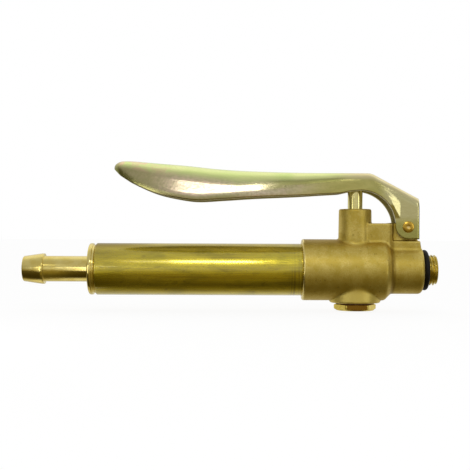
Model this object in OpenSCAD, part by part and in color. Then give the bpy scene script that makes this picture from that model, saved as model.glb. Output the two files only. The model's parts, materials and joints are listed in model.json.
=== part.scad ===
// Hand nozzle with a lever valve, in millimetres.
// Liquid runs along X, from the hose tail to the threaded outlet. The origin is the centre of the
// outlet's mouth, +X points out of it and +Z points up, towards the lever.
// Every piece is drawn from the body's outlet face, where x is 0, and place() moves it to the origin.

/* [Handle tube] */
// Outside diameter of the grip tube
tube_d = 22.2; // [20:0.1:27]
// Wall thickness of the grip tube
tube_wall = 1.5; // [1.2:0.1:2]
// Length of tube that shows between the body and the hose tail
grip_len = 88.3; // [72:0.1:110]
// Length of the tube's turned-down end inside the body
tube_engage = 10; // [6:0.5:14]
// Depth of the step turned on that end
tube_step = 0.6; // [0.4:0.1:0.8]
// Bevel round the tube's free edge
tube_bevel = 0.7; // [0.2:0.1:1]

/* [Hose tail] */
// Diameter over the barb
barb_d = 13.1; // [11:0.1:16]
// Diameter of the shank behind the barb
shank_d = 11; // [9:0.1:11.6]
// Length of the barb's cone
barb_len = 7.9; // [6.5:0.1:11]
// Length of the flat on top of the barb
barb_land = 1.2; // [1.2:0.1:3]
// Length of the shank between barb and flange
shank_len = 19.3; // [15:0.1:25]
// Bore for the liquid
tail_bore = 7.8; // [6:0.1:8.2]
// Thickness of the end flange
flange_w = 1.8; // [1:0.1:3]
// Width of the groove between flange and tube
flange_groove_w = 0.8; // [0.4:0.1:1.5]
// Depth of that groove
flange_groove_d = 0.7; // [0.3:0.1:0.9]
// Length of the spigot inside the tube
spigot_len = 12; // [10:0.5:16]

/* [Valve body] */
// Length of the barrel behind the valve stem
barrel_back = 23; // [21:0.5:32]
// How far the barrel stands out past the grip tube
barrel_lip = 2; // [1.5:0.1:4]
// Diameter of the outlet boss
outlet_boss_d = 20.5; // [19:0.5:22]
// Length of the outlet boss
outlet_boss_len = 13.4; // [12:0.1:15]
// Rounding of the outlet boss's edge
outlet_boss_round = 1.7; // [0.5:0.1:1.8]
// Distance of the valve stem from the outlet face
stem_x = 28.5; // [26:0.5:31]
// Wall of the guide boss round the stem's gland
guide_wall = 1.98; // [1.2:0.01:4]
// Height of the guide boss above the barrel
guide_rise = 13; // [11:0.1:14]
// Wall of the boss round the bonnet plug's thread
bonnet_wall = 3.3; // [2:0.1:5]
// How far the bonnet boss stands below the barrel
bonnet_drop = 0.9; // [0.4:0.1:3]
// Thickness of the rib from the guide boss to the pivot
rib_w = 11; // [10:0.1:11.4]
// Height of the rib above the barrel
rib_rise = 6.9; // [6:0.1:8]

/* [Outlet] */
// Major diameter of the outlet thread (G 1/4)
thread_d = 13.157; // [9.728:0.001:16.662]
// Length of the outlet thread
thread_len = 3.6; // [3:0.1:8]
// Diameter of the neck under the O-ring and of the nipple's root in the body
seal_neck_d = 12.4; // [9:0.1:12.5]
// Length of the nipple inside the body
nipple_in = 8; // [6:0.5:8]
// Bore for the liquid
outlet_bore = 8; // [5:0.1:8.4]
// Thickness of the outlet O-ring
outlet_ring_w = 2.4; // [1.8:0.1:3]

/* [Lever] */
// Thickness of the sheet steel
sheet = 1.5; // [1:0.1:1.5]
// Distance from pivot to lever tip
lever_reach = 125.3; // [105:0.1:150]
// Height of the pivot above the barrel
pivot_rise = 5.34; // [5:0.01:6.5]
// Distance of the pivot from the outlet face
pivot_x = 6.7; // [6:0.1:7.5]
// Height of the lever's flat top above the pivot
heel_rise = 22.9; // [22:0.1:26]
// Depth of the lever's sides over the push rod
heel_depth = 7.6; // [7:0.1:9]
// Half width of the lever at its widest
blade_half_w = 12; // [8.5:0.1:12.8]
// Half width of the lever over the push rod
heel_half_w = 8; // [7.2:0.1:9]
// Radius of the lever's crowned back at its widest
crown_r = 10.6; // [6:0.1:11]
// Lean of the lever's sides there, in degrees
side_lean = 18; // [0:1:20]
// Half width over the two ears
ear_half_w = 6.3; // [6.2:0.1:7]
// Radius of the ears round the pivot
ear_r = 5.2; // [4.6:0.1:5.6]
// Diameter of the pivot pin
pin_d = 4; // [3:0.1:5]

/* [Valve] */
// Diameter of the push rod
rod_d = 6.35; // [5:0.05:7.6]
// Diameter of the hole in the valve seat
seat_bore = 7.8; // [7.7:0.1:9]
// Diameter of the rubber valve disc
disc_d = 10.8; // [10:0.1:11]
// Wire thickness of the valve spring
spring_wire = 0.9; // [0.6:0.1:0.9]
// Number of turns of the valve spring
spring_turns = 4.5; // [3:0.5:5]

/* [Bonnet plug] */
// How far the hexagon's flats stand out past the thread
hex_shoulder = 0.5; // [0.4:0.1:2]
// Height of the hexagon
hex_h = 2.75; // [2:0.05:5]
// Thickness of the plug's gasket
plug_gasket_h = 0.5; // [0.3:0.1:1]

/* [Strainer] */
// Length of the gauze
gauze_len = 30; // [15:1:50]
// Outside diameter of the gauze
gauze_d = 12; // [8:0.5:13]

/* [Hidden] */
$fn = 64;

// Clearances
fit = 0.02;         // pieces pressed, brazed or screwed together
run = 0.05;         // radial clearance of the push rod and the pivot pin
seat_gap = 0.05;    // valve disc under its seat
touch_gap = 0.1;    // lever over the push rod
ear_gap = 0.2;      // each side of the pivot lug
ear_sweep_gap = 1.3; // lever's ears in front of the recess in the rib
ear_drop_gap = 0.74; // lever's ears over the ledge
coil_gap = 0.37;    // valve spring round the nut
bore_gap = 0.75;    // bonnet plug round the valve spring
cup_gap = 0.9;      // lower chamber round the disc's cup
full_gap = 0.1;     // cup over the bonnet plug at full squeeze
break_edge = 0.4;   // small broken edges

// Places along X, from the outlet face
seal_neck_len = outlet_ring_w + 0.2;
thread_out = seal_neck_len + thread_len;
body_x = -stem_x - barrel_back;
barrel_end_x = -outlet_boss_len;
tube_end_x = body_x - grip_len;
flange_x = tube_end_x - flange_groove_w - flange_w;
barb_x = flange_x - shank_len;
tip_x = barb_x - barb_land - barb_len;
socket_x = body_x + tube_engage;
gasket_h = 1;       // gasket at the tube's inner end

// Radii and heights of the body
tube_r = tube_d / 2;
tube_bore_r = tube_r - tube_wall;
tube_turned_r = tube_r - tube_step;
barrel_r = tube_r + barrel_lip;
barrel_bevel = 0.8;
outlet_boss_r = outlet_boss_d / 2;
guide_z = barrel_r + guide_rise;
guide_draft = 0.2;
bonnet_z = -barrel_r - bonnet_drop;
rib_z = barrel_r + rib_rise;
rib_front_x = -1.1;
rib_back_lean = 0.5;
rib_lean_h = 4.6;

// Pivot
pivot_z = barrel_r + pivot_rise;
pin_r = pin_d / 2;
pin_head = 0.45;    // how far the pin's head stands out past its shank
pin_head_h = 0.4;
pin_dimple = 0.7;
lug_r = 4.3;
lug_half_w = ear_half_w - sheet - ear_gap;
ledge_z = pivot_z - ear_r - ear_drop_gap;
recess_x = -pivot_x - ear_r - ear_sweep_gap;

// Hose tail
shank_r = shank_d / 2;
barb_r = barb_d / 2;
flange_r = tube_r - run;
collar_r = tube_r - flange_groove_d;
spigot_r = tube_bore_r - fit;
tail_ring_w = 1.7;
ring_groove_x = tube_end_x + spigot_len / 2;
ring_groove_w = 2.4;

// Strainer, carried on its collar in the tube's inner end
collar_len = 3;
collar_bevel = 1.5;
collar_gap = 0.1;
gauze_r = gauze_d / 2;
gauze_wall = 0.5;
gauze_x = socket_x - collar_len;
gauze_rows = 4;
gauze_slot_w = 1.6;
gauze_slot_share = 0.7;
strainer_end_h = 1.5;

// Gland, from the top down
rod_r = rod_d / 2;
gland_ring_h = 1.8;
gland_r = rod_r + 1.8;
guide_r = gland_r + guide_wall;
guide_cap = 5.5;    // solid top of the guide boss, which the rod runs through
gland_top_z = guide_z - guide_cap;
bush_h = 7;
bush_z = gland_top_z - 3 * gland_ring_h - bush_h;

// Valve chamber, seat and flow passages
chamber_top_z = bush_z - 1;
chamber_r = gland_r + 1;
seat_top_z = 1;
seat_bottom_z = -2.5;
seat_r = chamber_r + 0.5;
seat_lip_h = 0.6;
seat_lip_w = 0.5;
inlet_pocket_len = 2.5;
inlet_passage_r = 3.2;
inlet_reach = 4;
outlet_passage_r = 2.8;
outlet_reach = 4.5;
outlet_pocket_r = 4.5;
outlet_pocket_len = 6;
thread_r = thread_d / 2;
thread_bevel = 0.45;
outlet_ring_stretch = 0.1;

// Valve stem; the stroke is the push rod's travel for 10 degrees of squeeze
stroke = (stem_x - pivot_x) * 0.17;
rod_waist_z = chamber_top_z + 0.9;
rod_waist_r = 2.4;
rod_taper_h = 0.6;
rod_dome_r = rod_r * 1.9;
stub_r = 1.5;
stub_end = 0.5;
disc_h = 1.95;
disc_top_z = seat_bottom_z - seat_gap;
cup_floor_z = disc_top_z - disc_h;
cup_h = 2;
cup_z = cup_floor_z - cup_h;
cup_rim = 1;
cup_r = disc_d / 2 + 0.4;
nut_h = 2;
nut_af = 5.5;
nut_r = nut_af / sqrt(3);
lower_chamber_r = max(seat_r + 0.4, cup_r + cup_gap);

// Bonnet plug: the disc's cup lands on its rim at full stroke
spring_r = nut_r + coil_gap + spring_wire / 2;
plug_r = lower_chamber_r + 0.6;
plug_bore_r = spring_r + spring_wire / 2 + bore_gap;
plug_floor_h = 1.4;
plug_gasket_lip = 0.3;
hex_r = (plug_r + hex_shoulder) * 2 / sqrt(3);
hex_turned_r = 0.98 * hex_r;
hex_chamfer_h = 0.5;
bonnet_boss_r = plug_r + bonnet_wall;
hex_z = bonnet_z - plug_gasket_h - hex_h;
plug_top_z = cup_z - stroke - full_gap;
plug_floor_z = hex_z + plug_floor_h;

// Lever: its flat top, the sweep round its hinge end and the step in to its ears
heel_z = pivot_z + heel_rise;
sweep_x = -stem_x + 1.3;
sweep_r = -pivot_x - ear_r - sweep_x;
sweep_h = heel_rise - heel_depth;
rim_z = heel_z - heel_depth;
heel_x = sweep_x - 3;
lever_front_x = -pivot_x + 4.8;
slope_start_x = -stem_x + 6.3;
slope = 0.53;
shoulder_r = 4.2;   // of the lever's back over the push rod and the ears
joggle_out_x = -pivot_x - ear_r - 4.3;
joggle_in_x = -pivot_x - 2.3;
blade_len = lever_reach + pivot_x + heel_x;
blade_n = 22;
sweep_n = 9;
ear_n = 6;

// Valve spring's mesh
wire_sides = 8;
wire_per_turn = 14;

// A drilling tool starts and ends this far outside what it cuts
past = 1;

// Half section of a ring or a turned piece, revolved about the flow axis: points are [radius, x]
module turned_x(points) rotate([0, 90, 0]) rotate_extrude() polygon(points);

// The same about the valve stem: points are [radius, z]
module turned_z(points) translate([-stem_x, 0, 0]) rotate_extrude() polygon(points);

module ring_x(r_out, r_in, x0, x1)
    turned_x([[r_in, x0], [r_out, x0], [r_out, x1], [r_in, x1]]);

module ring_z(r_out, r_in, z0, z1)
    turned_z([[r_in, z0], [r_out, z0], [r_out, z1], [r_in, z1]]);

module bore_x(r, x0, x1, z = 0) translate([x0, 0, z]) rotate([0, 90, 0]) cylinder(r = r, h = x1 - x0);

module bore_z(r, z0, z1) translate([-stem_x, 0, z0]) cylinder(r = r, h = z1 - z0);

// A plate cut to an outline of [x, z] points, centred on the middle plane
module plate(points, w) translate([0, w / 2, 0]) rotate([90, 0, 0]) linear_extrude(w) polygon(points);

module place() translate([-thread_out, 0, 0]) children();

// Points of an arc in [a, b] coordinates, from angle a0 to a1
function arc(ca, cb, r, a0, a1, n) =
    [for (i = [0:n]) let (t = a0 + (a1 - a0) * i / n) [ca + r * cos(t), cb + r * sin(t)]];

// ---- valve body ----

module body_barrel() {
    cone = barrel_r - outlet_boss_r;
    turned_x(concat(
        [[0, body_x], [barrel_r - barrel_bevel, body_x], [barrel_r, body_x + barrel_bevel],
         [barrel_r, barrel_end_x - cone], [outlet_boss_r, barrel_end_x]],
        arc(outlet_boss_r - outlet_boss_round, -outlet_boss_round, outlet_boss_round, 0, 90, 5),
        [[0, 0]]));
}

module body_guide_boss() {
    edge = 2 * break_edge;
    turned_z(concat([[0, 0], [guide_r + guide_draft, 0], [guide_r + guide_draft, barrel_r]],
        arc(guide_r - edge, guide_z - edge, edge, 0, 90, 4), [[0, guide_z]]));
}

module body_bonnet_boss()
    turned_z([[0, 0], [bonnet_boss_r, 0], [bonnet_boss_r, bonnet_z + break_edge],
              [bonnet_boss_r - break_edge, bonnet_z], [0, bonnet_z]]);

module body_rib() {
    plate([[-stem_x, 0], [rib_front_x, 0], [rib_front_x, ledge_z - rib_lean_h],
           [rib_front_x - rib_back_lean, ledge_z], [recess_x, ledge_z], [recess_x, rib_z],
           [-stem_x, rib_z]], rib_w);
    back_a = 180 - asin((rib_z - pivot_z) / lug_r);
    plate(concat([[recess_x - past, ledge_z - past], [-pivot_x + lug_r, ledge_z - past]],
        arc(-pivot_x, pivot_z, lug_r, 0, back_a, 12), [[recess_x - past, rib_z]]), 2 * lug_half_w);
}

module body_valve_bores() {
    bore_z(rod_r + run, gland_top_z - past, guide_z + past);
    bore_z(gland_r, chamber_top_z - past, gland_top_z);
    bore_z(chamber_r, seat_top_z - past, chamber_top_z);
    bore_z(seat_r, seat_bottom_z - past, seat_top_z);
    bore_z(lower_chamber_r, plug_top_z - past, seat_bottom_z);
    bore_z(plug_r + fit, bonnet_z - past, plug_top_z);
}

module body_flow_bores() {
    bore_x(tube_turned_r + fit, body_x - past, socket_x + gasket_h);
    bore_x(tube_bore_r - 1, socket_x, socket_x + gasket_h + inlet_pocket_len);
    bore_x(inlet_passage_r, socket_x, -stem_x - inlet_reach, z = (seat_bottom_z + plug_top_z) / 2 + 0.5);
    bore_x(seal_neck_d / 2 + fit, -nipple_in, past);
    bore_x(outlet_pocket_r, -nipple_in - outlet_pocket_len, 0);
    bore_x(outlet_passage_r, -stem_x + outlet_reach, -nipple_in - 4, z = seat_top_z + 3);
}

module valve_body() color([0.71, 0.60, 0.28]) place() difference() {
    union() {
        body_barrel();
        body_guide_boss();
        body_bonnet_boss();
        body_rib();
    }
    body_valve_bores();
    body_flow_bores();
    translate([-pivot_x, 0, pivot_z]) rotate([90, 0, 0]) cylinder(r = pin_r + run, h = 30, center = true);
}

// ---- handle tube, hose tail and strainer ----

module handle_tube() color([0.60, 0.53, 0.20]) place()
    turned_x([[tube_bore_r, tube_end_x], [tube_r - tube_bevel, tube_end_x],
              [tube_r, tube_end_x + tube_bevel], [tube_r, body_x], [tube_turned_r, body_x],
              [tube_turned_r, socket_x], [tube_bore_r, socket_x]]);

module hose_tail() color([0.86, 0.74, 0.38]) place() {
    groove_r = spigot_r - tail_ring_w - fit;
    turned_x([[tail_bore / 2, tip_x], [shank_r - break_edge, tip_x], [shank_r, tip_x + break_edge],
        [barb_r, tip_x + barb_len], [barb_r, barb_x], [shank_r, barb_x], [shank_r, flange_x],
        [flange_r - break_edge, flange_x], [flange_r, flange_x + break_edge],
        [flange_r, flange_x + flange_w - break_edge / 2], [flange_r - break_edge / 2, flange_x + flange_w],
        [collar_r, flange_x + flange_w], [collar_r, tube_end_x], [spigot_r, tube_end_x],
        [spigot_r, ring_groove_x], [groove_r, ring_groove_x], [groove_r, ring_groove_x + ring_groove_w],
        [spigot_r, ring_groove_x + ring_groove_w], [spigot_r, tube_end_x + spigot_len],
        [tail_bore / 2, tube_end_x + spigot_len]]);
}

module tail_o_ring() color([0.06, 0.06, 0.06]) place()
    translate([ring_groove_x + ring_groove_w / 2, 0, 0]) rotate([0, 90, 0])
    rotate_extrude() translate([spigot_r - tail_ring_w / 2, 0]) circle(r = tail_ring_w / 2 - fit / 2);

module strainer_collar() color([0.80, 0.68, 0.34]) place()
    turned_x([[gauze_r - collar_bevel, gauze_x], [gauze_r + 0.6, gauze_x],
              [tube_bore_r - collar_gap, gauze_x + collar_bevel], [tube_bore_r - collar_gap, socket_x],
              [gauze_r - collar_bevel, socket_x]]);

module strainer_gauze() color([0.75, 0.76, 0.78]) place() difference() {
    ring_x(gauze_r, gauze_r - gauze_wall, gauze_x - gauze_len, gauze_x);
    pitch = gauze_len / gauze_rows;
    for (row = [0:gauze_rows - 1], turn = [0:3])
        translate([gauze_x - (row + 0.5) * pitch, 0, 0]) rotate([turn * 45 + 22.5, 0, 0])
            cube([pitch * gauze_slot_share, gauze_slot_w, gauze_d + 2 * past], center = true);
}

module strainer_end() color([0.80, 0.68, 0.34]) place()
    turned_x([[0, gauze_x - gauze_len - strainer_end_h], [gauze_r, gauze_x - gauze_len - strainer_end_h],
              [gauze_r + 0.3, gauze_x - gauze_len], [0, gauze_x - gauze_len]]);

module tube_gasket() color([0.35, 0.10, 0.08]) place()
    ring_x(tube_turned_r - collar_gap, tube_bore_r - 0.9, socket_x, socket_x + gasket_h);

// ---- gland, seat and outlet ----

module gland_ring(z_top) color([0.08, 0.08, 0.08]) place() {
    r_in = rod_r + fit;
    r_out = gland_r - fit;
    section = min(r_out - r_in, gland_ring_h) / 2 - fit;
    translate([-stem_x, 0, z_top - gland_ring_h / 2]) rotate_extrude()
        translate([(r_in + r_out) / 2, 0]) circle(r = section);
}

module gland_o_ring_upper() gland_ring(gland_top_z);

module gland_spacer() color([0.80, 0.68, 0.34]) place()
    ring_z(gland_r - fit, rod_r + run, gland_top_z - 2 * gland_ring_h, gland_top_z - gland_ring_h);

module gland_o_ring_lower() gland_ring(gland_top_z - 2 * gland_ring_h);

module gland_bush() color([0.80, 0.68, 0.34]) place()
    ring_z(gland_r - fit, rod_r + run, bush_z, bush_z + bush_h);

module seat_ring() color([0.80, 0.68, 0.34]) place()
    turned_z([[seat_bore / 2, seat_bottom_z], [seat_bore / 2 + seat_lip_w, seat_bottom_z],
              [seat_bore / 2 + seat_lip_w + 0.4, seat_bottom_z + seat_lip_h],
              [seat_r - fit, seat_bottom_z + seat_lip_h], [seat_r - fit, seat_top_z],
              [seat_bore / 2, seat_top_z]]);

module outlet_nipple() color([0.84, 0.70, 0.30]) place()
    turned_x([[outlet_bore / 2, -nipple_in], [seal_neck_d / 2, -nipple_in],
        [seal_neck_d / 2, seal_neck_len], [thread_r, seal_neck_len], [thread_r, thread_out - thread_bevel],
        [thread_r - thread_bevel, thread_out], [outlet_bore / 2, thread_out]]);

module outlet_o_ring() color([0.05, 0.05, 0.06]) place()
    translate([outlet_ring_w / 2 + fit, 0, 0]) rotate([0, 90, 0]) rotate_extrude()
    translate([seal_neck_d / 2 + outlet_ring_w / 2 + outlet_ring_stretch, 0]) circle(r = outlet_ring_w / 2);

// ---- bonnet plug ----

module bonnet_plug() color([0.80, 0.66, 0.28]) place() difference() {
    union() {
        intersection() {
            translate([-stem_x, 0, hex_z]) cylinder(r = hex_r, h = hex_h, $fn = 6);
            turned_z([[0, hex_z], [plug_r + hex_shoulder, hex_z], [hex_turned_r, hex_z + hex_chamfer_h],
                      [hex_turned_r, hex_z + hex_h], [0, hex_z + hex_h]]);
        }
        bore_z(plug_r, hex_z + hex_h - past / 2, plug_top_z);
    }
    bore_z(plug_bore_r, plug_floor_z, plug_top_z + past);
}

module plug_gasket() color([0.60, 0.30, 0.14]) place()
    ring_z(plug_r + hex_shoulder + plug_gasket_lip, plug_r + fit, bonnet_z - plug_gasket_h, bonnet_z);

// ---- lever and pivot ----

// Blade outline along its length, as [s, height or half width]: s is 0 beside the push rod and 1 at the tip
blade_top = [[0, heel_z], [0.22, heel_z + 0.1], [0.41, heel_z + 0.6], [0.56, heel_z + 1.55],
    [0.69, heel_z + 2.95], [0.82, heel_z + 4], [0.93, heel_z + 4.85], [0.975, heel_z + 4.5],
    [1, heel_z + 2.7]];
blade_bottom = [[0, rim_z - 0.3], [0.05, rim_z - 1.2], [0.11, rim_z - 1.6], [0.23, rim_z - 2.35],
    [0.4, rim_z - 3.1], [0.55, rim_z - 4.1], [0.65, rim_z - 4.6], [0.73, rim_z - 3.6], [0.82, rim_z - 1.5],
    [0.91, rim_z + 2.3], [0.97, rim_z + 6.3], [1, rim_z + 8.4]];
blade_width = [[0, heel_half_w], [0.3, heel_half_w * 0.7 + blade_half_w * 0.3], [0.66, blade_half_w],
    [0.75, blade_half_w * 0.98], [0.84, blade_half_w * 0.9], [0.91, blade_half_w * 0.74],
    [0.96, blade_half_w * 0.52], [0.985, blade_half_w * 0.32], [1, blade_half_w * 0.1]];

blade_round = [[0, shoulder_r], [0.22, shoulder_r * 0.64 + crown_r * 0.36],
    [0.38, shoulder_r * 0.4 + crown_r * 0.6], [0.55, crown_r], [0.8, crown_r], [1, crown_r]];
blade_lean = [[0, 0], [0.22, side_lean * 0.45], [0.38, side_lean * 0.85], [0.5, side_lean], [0.72, side_lean],
    [0.82, side_lean * 0.7], [0.92, side_lean * 0.3], [1, 0]];

// Value at s of the smooth curve through a table of [s, value]
function span(s, t, i = 0) = i >= len(t) - 2 || s < t[i + 1][0] ? i : span(s, t, i + 1);
function rate(t, i) =
    i == 0 || i == len(t) - 1 ? 0 : (t[i + 1][1] - t[i - 1][1]) / (t[i + 1][0] - t[i - 1][0]);
function smooth(s, t) =
    let (i = span(s, t), h = t[i + 1][0] - t[i][0], u = (s - t[i][0]) / h)
    t[i][1] * (1 + 2 * u) * pow(1 - u, 2) + t[i + 1][1] * u * u * (3 - 2 * u)
    + h * u * (1 - u) * (rate(t, i) * (1 - u) - rate(t, i + 1) * u);

// The hinge end: a flat top that slopes down to the front edge, and sides that step in to the ears
function hinge_top(x) = heel_z - slope * max(0, x - slope_start_x);
function hinge_half_w(x) =
    ear_half_w + (heel_half_w - ear_half_w) * min(1, max(0, (joggle_in_x - x) / (joggle_in_x - joggle_out_x)));

// Cross sections from the tip to the front edge: [x, half width, top, bottom, shoulder radius, side's lean]
stations = concat(
    [for (i = [blade_n:-1:0]) let (s = 1 - pow(1 - i / blade_n, 1.5))
        [heel_x - s * blade_len, smooth(s, blade_width), smooth(s, blade_top), smooth(s, blade_bottom),
         smooth(s, blade_round), smooth(s, blade_lean)]],
    [for (i = [0:sweep_n]) let (a = 90 * i / sweep_n, x = sweep_x + sweep_r * sin(a))
        [x, hinge_half_w(x), hinge_top(x), pivot_z + sweep_h * cos(a), shoulder_r, 0]],
    [for (i = [1:ear_n]) let (a = 90 * i / ear_n, x = -pivot_x - ear_r * cos(a))
        [x, hinge_half_w(x), hinge_top(x), pivot_z - ear_r * sin(a), shoulder_r, 0]],
    [[lever_front_x, ear_half_w, hinge_top(lever_front_x), pivot_z - ear_r, shoulder_r, 0]]);

// One skin of the channel as [y, z] points, up the near side, over the top and down the far side
function near_side(w, top, bottom, r, lean) =
    let (foot_z = top - r * (1 - sin(lean)), foot_y = -w + (foot_z - bottom) * tan(lean))
    concat([[-w, bottom], [(foot_y - w) / 2, (foot_z + bottom) / 2]],
        arc(foot_y + r * cos(lean), top - r, r, 180 - lean, 90, 6));
function skin(w, top, bottom, r, lean) = let (side = near_side(w, top, bottom, r, lean), n = len(side))
    concat(side, [[0, top]], [for (i = [n - 1:-1:0]) [-side[i][0], side[i][1]]]);

// The channel's cut face at one station: the outer skin, then the inner skin back again
function channel(st) =
    let (w = st[1], top = st[2], bottom = st[3], lean = st[5], depth = top - bottom,
         t = min(sheet, 0.45 * w, 0.4 * depth), r = min(st[4], 0.82 * w, 0.6 * depth / (1 - sin(lean))),
         outer = skin(w, top, bottom, r, lean),
         inner = skin(w - t, top - t, bottom, max(r - t, 0.1), lean), n = len(inner))
    [for (p = concat(outer, [for (i = [n - 1:-1:0]) inner[i]])) [st[0], p[0], p[1]]];

// Solid through rings of points that run from end to end; the end caps join each ring's two halves
module loft(rings) {
    m = len(rings[0]);
    last = (len(rings) - 1) * m;
    sides = [for (i = [0:len(rings) - 2], k = [0:m - 1])
        [i * m + k, i * m + (k + 1) % m, (i + 1) * m + (k + 1) % m, (i + 1) * m + k]];
    caps = [for (k = [0:m / 2 - 2]) [k, m - 1 - k, m - 2 - k, k + 1]];
    polyhedron([for (ring = rings) for (p = ring) p],
        concat(sides, caps, [for (c = caps) [for (i = [3:-1:0]) last + c[i]]]));
}

module lever() color([0.74, 0.74, 0.45]) place() difference() {
    loft([for (st = stations) channel(st)]);
    translate([-pivot_x, 0, pivot_z]) rotate([90, 0, 0])
        cylinder(r = pin_r + fit, h = 2 * heel_half_w, center = true);
}

module pivot_pin() color([0.78, 0.50, 0.20]) place() {
    head_r = pin_r + pin_head;
    head_y = ear_half_w + run;
    end_y = head_y + pin_head_h;
    edge = pin_head_h / 2;
    dimple_r = pin_r * 0.6;
    half = [[0, head_y - pin_dimple], [dimple_r, end_y], [head_r - 0.15, end_y], [head_r, end_y - edge],
            [head_r, head_y], [pin_r, head_y]];
    translate([-pivot_x, 0, pivot_z]) rotate([90, 0, 0]) rotate_extrude()
        polygon(concat([for (q = half) [q[0], -q[1]]], [for (i = [len(half) - 1:-1:0]) half[i]]));
}

// ---- push rod, valve disc and spring ----

module push_rod() color([0.92, 0.80, 0.45]) place() {
    top_z = heel_z - sheet - touch_gap;
    end_z = cup_z - nut_h - stub_end;
    dome_a = asin(rod_r / rod_dome_r);
    turned_z(concat([[0, end_z], [stub_r, end_z], [stub_r, disc_top_z],
        [rod_waist_r, disc_top_z], [rod_waist_r, rod_waist_z], [rod_r, rod_waist_z + rod_taper_h]],
        arc(0, top_z - rod_dome_r, rod_dome_r, 90 - dome_a, 90, 6)));
}

module valve_disc() color([0.12, 0.12, 0.12]) place()
    ring_z(disc_d / 2, stub_r + fit, cup_floor_z, disc_top_z);

module disc_cup() color([0.82, 0.70, 0.35]) place()
    turned_z([[stub_r + fit, cup_z], [cup_r, cup_z], [cup_r, cup_floor_z + cup_rim],
              [disc_d / 2 + fit, cup_floor_z + cup_rim], [disc_d / 2 + fit, cup_floor_z],
              [stub_r + fit, cup_floor_z]]);

module disc_nut() color([0.82, 0.70, 0.35]) place() difference() {
    translate([-stem_x, 0, cup_z - nut_h]) cylinder(r = nut_r, h = nut_h, $fn = 6);
    bore_z(stub_r + fit, cup_z - nut_h - past, cup_z + past);
}

module valve_spring() color([0.75, 0.76, 0.78]) place() {
    wire_r = spring_wire / 2;
    sides = wire_sides;
    n = spring_turns * wire_per_turn;
    z0 = plug_floor_z + wire_r;
    rise = cup_z - wire_r - z0;
    rings = [for (i = [0:n]) let (a = 360 * i / wire_per_turn)
        [for (k = [0:sides - 1]) let (b = 360 * k / sides, r = spring_r + wire_r * cos(b))
            [-stem_x + r * cos(a), r * sin(a), z0 + rise * i / n + wire_r * sin(b)]]];
    last = n * sides;
    polyhedron([for (ring = rings) for (p = ring) p], concat(
        [for (i = [0:n - 1], k = [0:sides - 1]) let (a = i * sides + k, b = i * sides + (k + 1) % sides)
            [a, b, b + sides, a + sides]],
        [[for (k = [sides - 1:-1:0]) k]], [[for (k = [0:sides - 1]) last + k]]));
}

valve_body();
handle_tube();
hose_tail();
tail_o_ring();
strainer_collar();
strainer_gauze();
strainer_end();
tube_gasket();
gland_o_ring_upper();
gland_spacer();
gland_o_ring_lower();
gland_bush();
seat_ring();
outlet_nipple();
outlet_o_ring();
bonnet_plug();
plug_gasket();
lever();
pivot_pin();
push_rod();
valve_disc();
disc_cup();
disc_nut();
valve_spring();
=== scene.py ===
import json
import math

import bmesh
import bpy
import numpy as np
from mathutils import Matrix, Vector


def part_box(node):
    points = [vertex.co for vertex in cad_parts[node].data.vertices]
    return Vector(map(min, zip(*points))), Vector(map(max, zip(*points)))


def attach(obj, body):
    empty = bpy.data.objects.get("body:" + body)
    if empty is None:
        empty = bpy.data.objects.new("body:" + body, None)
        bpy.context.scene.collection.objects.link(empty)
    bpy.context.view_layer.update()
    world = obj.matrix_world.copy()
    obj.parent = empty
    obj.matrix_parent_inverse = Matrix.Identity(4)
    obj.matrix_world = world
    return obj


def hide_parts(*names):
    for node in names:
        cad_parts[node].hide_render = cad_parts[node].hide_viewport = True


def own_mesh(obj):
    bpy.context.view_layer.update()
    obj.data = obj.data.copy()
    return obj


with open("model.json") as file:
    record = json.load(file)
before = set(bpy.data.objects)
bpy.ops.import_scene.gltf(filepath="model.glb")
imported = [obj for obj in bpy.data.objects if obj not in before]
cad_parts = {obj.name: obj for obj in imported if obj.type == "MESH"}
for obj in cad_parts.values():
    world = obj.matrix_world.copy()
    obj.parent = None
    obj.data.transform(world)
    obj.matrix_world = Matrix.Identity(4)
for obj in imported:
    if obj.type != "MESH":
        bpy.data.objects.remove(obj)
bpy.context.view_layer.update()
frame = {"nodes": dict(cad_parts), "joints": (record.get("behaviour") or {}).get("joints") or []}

# Brass hand nozzle: hose tail, grip tube, cast valve body, pressed steel lever and a threaded outlet.
# Lengths are in millimetres here, and become metres where a mesh, a light or the camera is made.
MM = 0.001


def limits(node):
    """Lowest and highest corner of a frame node, in millimetres."""
    low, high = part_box(node)
    return np.array(low) / MM, np.array(high) / MM


# ---------------------------------------------------------------- sizes and places, from the frame

body_low, body_high = limits("valve_body")
tube_low, tube_high = limits("handle_tube")
tail_low, tail_high = limits("hose_tail")
nipple_low, nipple_high = limits("outlet_nipple")
lever_low, lever_high = limits("lever")
rod_low, rod_high = limits("push_rod")
pin_high = limits("pivot_pin")[1]
plug_low, plug_high = limits("bonnet_plug")
gasket_low, gasket_high = limits("plug_gasket")
seal_low, seal_high = limits("outlet_o_ring")
seat_low, seat_high = limits("seat_ring")
bush_low, bush_high = limits("gland_bush")
gland_low, gland_high = limits("gland_o_ring_upper")
spring_low, spring_high = limits("valve_spring")
hinge_at = np.array(frame["joints"][0]["pos_m"]) / MM

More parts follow.
